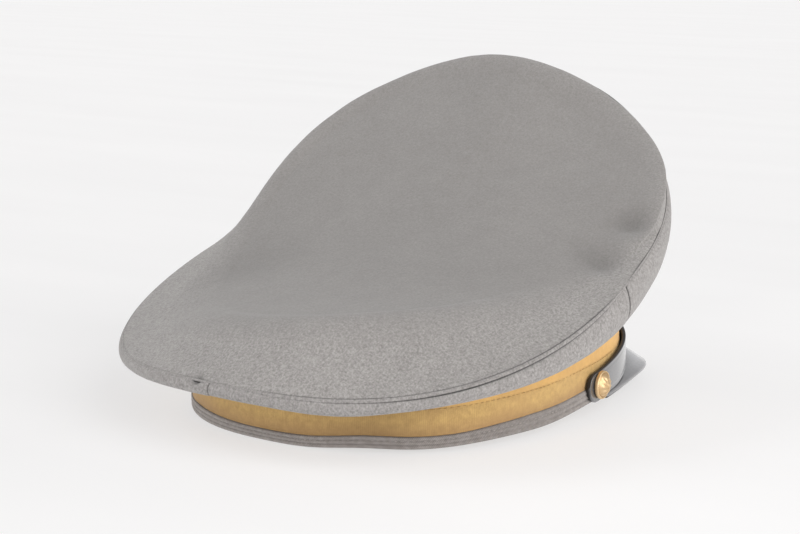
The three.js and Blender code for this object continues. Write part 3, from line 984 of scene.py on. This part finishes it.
def stitches(name, finish, out, up, length, step, radius, proud):
    """A line of separate stitches round the band, each one a short bowed thread whose ends are
    sunk in the cloth."""
    fine = np.linspace(0, 2 * np.pi, 2881)
    road = lengths_along(point_at(fine, np.full_like(fine, out), up))
    count = int(road[-1] // step)
    share = np.linspace(0, 1, 7)
    sides = 6
    spin = turns_round(sides)
    sunk = 0.22
    bow = out + proud * np.sin(np.pi * share) ** 0.6 - sunk
    thick = radius * np.maximum(np.sin(np.pi * (0.08 + 0.84 * share)), 0.25) ** 0.5
    points, faces = [], []
    for i in range(count):
        start = i * road[-1] / count + random.uniform(-0.08, 0.08)
        reach = length * random.uniform(0.92, 1.05)
        at = np.interp(start + share * reach, road, fine)
        rise = worn_up(at, np.full_like(at, up)) + random.uniform(-0.07, 0.07)
        rings = np.array([
            point_at(at, bow + thick * math.cos(a), rise + thick * math.sin(a)) for a in spin
        ])
        base = len(points)
        points += rings.swapaxes(0, 1).reshape(-1, 3).tolist()
        for ring in range(len(share) - 1):
            for side in range(sides):
                a = base + ring * sides + side
                b = base + ring * sides + (side + 1) % sides
                faces.append((a, b, b + sides, a + sides))
        last = base + (len(share) - 1) * sides
        faces.append(tuple(range(base + sides - 1, base - 1, -1)))
        faces.append(tuple(range(last, last + sides)))
    mesh = bpy.data.meshes.new(name)
    mesh.from_pydata((leant(points) + ORIGIN).tolist(), [], faces)
    finished(name, mesh, [finish])


# Visor
def visor():
    """The lacquered visor, with round edges and a plain back."""
    inset = VISOR_THICKNESS / 2
    end = math.radians(VISOR_END)
    turn = np.linspace(-end, end, 141) * VISOR_ENDS_AT
    near = np.maximum(np.cos(turn / end * np.pi / 2), 0)
    reach = VISOR_END_REACH + (VISOR_REACH - VISOR_END_REACH) * near**VISOR_REACH_POWER
    slope = (VISOR_END_UP + VISOR_ARCH - VISOR_TIP_UP) / VISOR_REACH
    inner_up = VISOR_END_UP + VISOR_ARCH * near**VISOR_ARCH_POWER
    rim_width = 5.0
    rows, rim = [], []
    for share in np.linspace(0, 1, 37):
        out = inset * 0.5 + share * np.maximum(reach - inset * 1.5, 0.2)
        rim.append(np.clip(1 - (reach - out) / rim_width, 0, 1))
        part = out / reach
        bow = VISOR_BOW * reach * np.sin(np.pi * part)
        drop = slope * near**VISOR_SLOPE_POWER * out
        rows.append(point_at(turn, VISOR_SEAT_OUT + out, inner_up - drop + bow))
    grid = -np.array(rows)
    rings = -strip_of_cloth(grid, VISOR_THICKNESS)[0]
    back_from = len(rows) + len(EDGE_ROUND) // 2
    row_finish = [int(back_from <= row <= back_from + len(rows)) for row in range(len(rings))]
    edge = np.ones((len(EDGE_ROUND), len(turn)))
    rim = np.concatenate([rim, edge, rim[::-1], 0 * edge])
    ends = (rings.shape[1] - len(turn)) // 2
    marks = {"rim": np.pad(rim, ((0, 0), (ends, ends)), "edge")}
    piece = grid_mesh(
        "visor_peak", rings, True, [PATENT, VISOR_BACK],
        np.arange(rings.shape[1]), np.arange(rings.shape[0] + 1), row_finish, marks,
    )
    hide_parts("visor")


# Chin strap and buttons
def strap_up(turn):
    share = np.maximum(np.cos(turn / math.radians(BUTTON_ANGLE) * np.pi / 2), 0)
    return BUTTON_UP + STRAP_RISE * share


def chin_strap():
    """The leather strap, with creased lines beside its edges and a round end past each button."""
    straight = math.radians(BUTTON_ANGLE + STRAP_ROUNDS_FROM)
    end_reach = math.radians(STRAP_END_ANGLE - STRAP_ROUNDS_FROM)
    end_shares = np.sin(np.linspace(0, np.pi / 2, 15))[1:]
    middle = np.linspace(-straight, straight, 241)
    turn = np.concatenate([-(straight + end_shares[::-1] * end_reach), middle,
                           straight + end_shares * end_reach])
    widths = np.sqrt(np.maximum(1 - end_shares**2, 0))
    width = np.concatenate([widths[::-1], np.ones_like(middle), widths])
    thick = np.minimum(1, width * 6) ** 0.5
    half, depth = STRAP_WIDTH / 2, STRAP_THICKNESS / 2
    outline = loop_of([(-depth, -half), (depth, -half), (depth, half), (-depth, half)], 0.8, 5, 0.5)
    crease_in = 1.5
    crease = 0.22 * swell(np.abs(outline[:, 1]) - half + crease_in, 0.28)
    crease = np.where(outline[:, 0] > 0, crease, 0)[:, None] * (np.abs(turn) < straight)
    seat = STRAP_SEAT_OUT + depth
    out = seat + outline[:, :1] * thick - crease
    lowered = np.interp(np.abs(turn), np.radians(STRAP_LOW_ANGLES), STRAP_LOWER_BY)
    low_share = (half - outline[:, 1:]) / STRAP_WIDTH
    up = strap_up(turn) + outline[:, 1:] * width - lowered * low_share * width
    is_face = outline[:, 0] > depth - 0.1
    is_lower_edge = (outline[:, 1] < 1 - half) & (outline[:, 0] > 0)
    sections = np.stack([out, up], -1)
    row_finish = (is_face | is_lower_edge).astype(int)
    finishes = [STRAP_EDGE, STRAP_FACE]
    piece = sweep("strap", turn, sections, False, finishes, row_finish)
    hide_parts("chin_strap")


def leaf_relief(radius, angle):
    """Height of a plain wreath of leaves round a small boss, in millimetres."""
    leaves = 9
    share = radius / BUTTON_RADIUS
    swirl = angle * leaves + 5.5 * share
    wreath = swell(share - 0.52, 0.17) * np.abs(np.cos(swirl / 2)) ** 1.4
    boss = np.exp(-((share / 0.17) ** 4))
    ring = swell(share - 0.27, 0.035)
    return 0.32 * wreath + 0.3 * boss + 0.1 * ring


def button(name, node, side):
    """A domed button with a roped rim and a plain wreath."""
    turn = np.array(side * math.radians(BUTTON_ANGLE))
    angle = turns_round(112)
    rim = 1.9
    rim_round = 0.5
    dome = 4.35
    dome_from = rim - 0.35
    inner = BUTTON_RADIUS - 1.0
    back = BUTTON_RADIUS - rim_round
    strands = 44
    rows = [(0.0, 0.0), (3.0, 0.0), (back, 0.0)]
    rows += [
        (back + rim_round * math.sin(a), rim / 2 * (1 - math.cos(a)))
        for a in np.linspace(0.2, math.pi, 9)
    ]
    for radius in np.linspace(inner, 0, 40):
        rows.append((radius, dome_from + (dome - dome_from) * (1 - (radius / inner) ** 2) ** 0.8))
    grid = []
    for radius, height in rows:
        lift = np.full_like(angle, height)
        if radius > BUTTON_RADIUS - 0.9 and height > rim / 2:
            lift += 0.16 * np.cos(angle * strands)
        if radius < inner and height >= dome_from:
            lift += leaf_relief(np.full_like(angle, radius), angle)
        grid.append(np.stack([radius * np.cos(angle), radius * np.sin(angle), lift], -1))
    base = point_at(turn, STRAP_SEAT_OUT + STRAP_THICKNESS + GAP, BUTTON_UP)
    away = unit(point_at(turn, 1.0, 0.0) - point_at(turn, 0.0, 0.0))
    up = np.array([0.0, 0.0, 1.0])
    placed = base + np.array(grid) @ np.array([np.cross(up, away), up, away])
    piece = grid_mesh(name, placed, False, [GILT])
    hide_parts(node)


# Floor, light and camera
def stage():
    """A wide pale floor, lit from below as a light table is, its glow painted brighter towards
    the right front as a painted pool of light.
    """
    size = 30.0
    mesh = bpy.data.meshes.new("floor")
    corners = [(-size, -size, 0), (size, -size, 0), (size, size, 0), (-size, size, 0)]
    mesh.from_pydata(corners, [], [(0, 1, 2, 3)])
    made, tree, shader = new_finish(
        "pale_floor", Roughness=0.6, Specular_IOR_Level=0.1, Emission_Color=(1, 0.99, 0.99, 1),
    )
    here = place(tree)
    _, _, back, right = camera_axes()
    near = tuple(unit(right + back) * (1, 1, 0))
    nearness = add(tree, "ShaderNodeVectorMath", {0: here, 1: near}, "Value", operation="DOT_PRODUCT")
    brightest = FLOOR_GLOW + FLOOR_GLOW_RISES
    glow = spread(tree, nearness, GLOW_RISES_FROM, GLOW_RISES_TO, FLOOR_GLOW, brightest)
    tree.links.new(glow, shader.inputs["Emission Strength"])
    streaks = speckle(tree, stretched(tree, here, (2.5, 9, 1), (0, 0, 0.65)), 1, 3)
    tone = spread(tree, streaks, 0.3, 0.7, FLOOR_TONE - FLOOR_VARIES, FLOOR_TONE + FLOOR_VARIES)
    tree.links.new(grey(tree, tone), shader.inputs["Base Color"])
    mesh.materials.append(made)
    floor = bpy.data.objects.new("floor", mesh)
    bpy.context.scene.collection.objects.link(floor)


def camera_axes():
    """Unit vectors to the camera's right, up and back, from its azimuth, elevation and roll."""
    a, e, r = CAMERA_AZIMUTH, CAMERA_ELEVATION, CAMERA_ROLL
    back = np.array([math.sin(a) * math.cos(e), -math.cos(a) * math.cos(e), math.sin(e)])
    right = np.array([math.cos(a), math.sin(a), 0.0])
    up = np.cross(back, right)
    turned_right = right * math.cos(r) - up * math.sin(r)
    turned_up = right * math.sin(r) + up * math.cos(r)
    return turned_right, turned_up, back, right


def camera():
    right, up, back, level = camera_axes()
    aim = level * LOOK_ASIDE + np.array([0, 0, LOOK_UP])
    data = bpy.data.cameras.new("camera")
    data.sensor_width = SENSOR
    data.lens = FOCAL_PIXELS / IMAGE_WIDTH * SENSOR
    data.clip_start = 0.05
    data.clip_end = 200
    made = bpy.data.objects.new("camera", data)
    turned = Matrix(np.stack([right, up, back], -1).tolist()).to_4x4()
    spot = (aim + back * CAMERA_DISTANCE) * MM + ORIGIN
    made.matrix_world = Matrix.Translation(Vector(spot.tolist())) @ turned
    bpy.context.scene.collection.objects.link(made)
    bpy.context.scene.camera = made


def broad_light(name, way, energy, colour):
    """A broad soft light that shines from one way."""
    data = bpy.data.lights.new(name, "SUN")
    data.energy = energy
    data.angle = math.radians(60)
    data.color = colour
    made = bpy.data.objects.new(name, data)
    made.rotation_mode = "QUATERNION"
    made.rotation_quaternion = Vector(way.tolist()).to_track_quat("Z", "Y")
    bpy.context.scene.collection.objects.link(made)


def lights():
    """A pale room, a window behind the camera to the right, and a weaker one to the left."""
    _, _, back, right = camera_axes()
    up = np.array([0, 0, 1.0])
    broad_light("window", right * 0.7 + back * 0.7 + up * 0.35, 2.5, (1.0, 0.985, 0.965))
    broad_light("second_window", up * 0.45 - right, 1.55, (1.0, 0.99, 0.975))
    world = bpy.data.worlds.new("white_room")
    world.use_nodes = True
    tree = world.node_tree
    here = add(tree, "ShaderNodeTexCoord", {}, "Generated")
    split = tree.nodes.new("ShaderNodeSeparateXYZ")
    tree.links.new(here, split.inputs[0])
    high = spread(tree, split.outputs[2], 0.2, 0.6)
    colour = mix(tree, high, WALL_COLOUR, CEILING_COLOUR)
    tree.links.new(colour, tree.nodes["Background"].inputs["Color"])
    bpy.context.scene.world = world
    bpy.context.scene.view_settings.view_transform = "Standard"


crown_top()
quarter("panel_front", "quarter_front", -FRONT_SEAM, FRONT_SEAM, seed=11.7)
quarter("panel_left", "quarter_left", FRONT_SEAM, BACK_SEAM, seed=23.3)
quarter("panel_right", "quarter_right", -BACK_SEAM, -FRONT_SEAM, seed=31.9)
crown_welt()
band()
band_binding()
stitches(
    "braid_stitches", THREAD, band_out(BRAID_SEAM_UP), BRAID_SEAM_UP,
    length=2.1, step=2.9, radius=0.2, proud=0.28,
)
stitches(
    "tape_stitches", GREY_THREAD, BINDING_PROUD - TAPE_SEAM_IN, TAPE_SEAM_UP,
    length=1.6, step=2.5, radius=0.18, proud=0.3,
)
visor()
chin_strap()
button("gilt_button_left", "button_left", 1)
button("gilt_button_right", "button_right", -1)
stage()
camera()
lights()
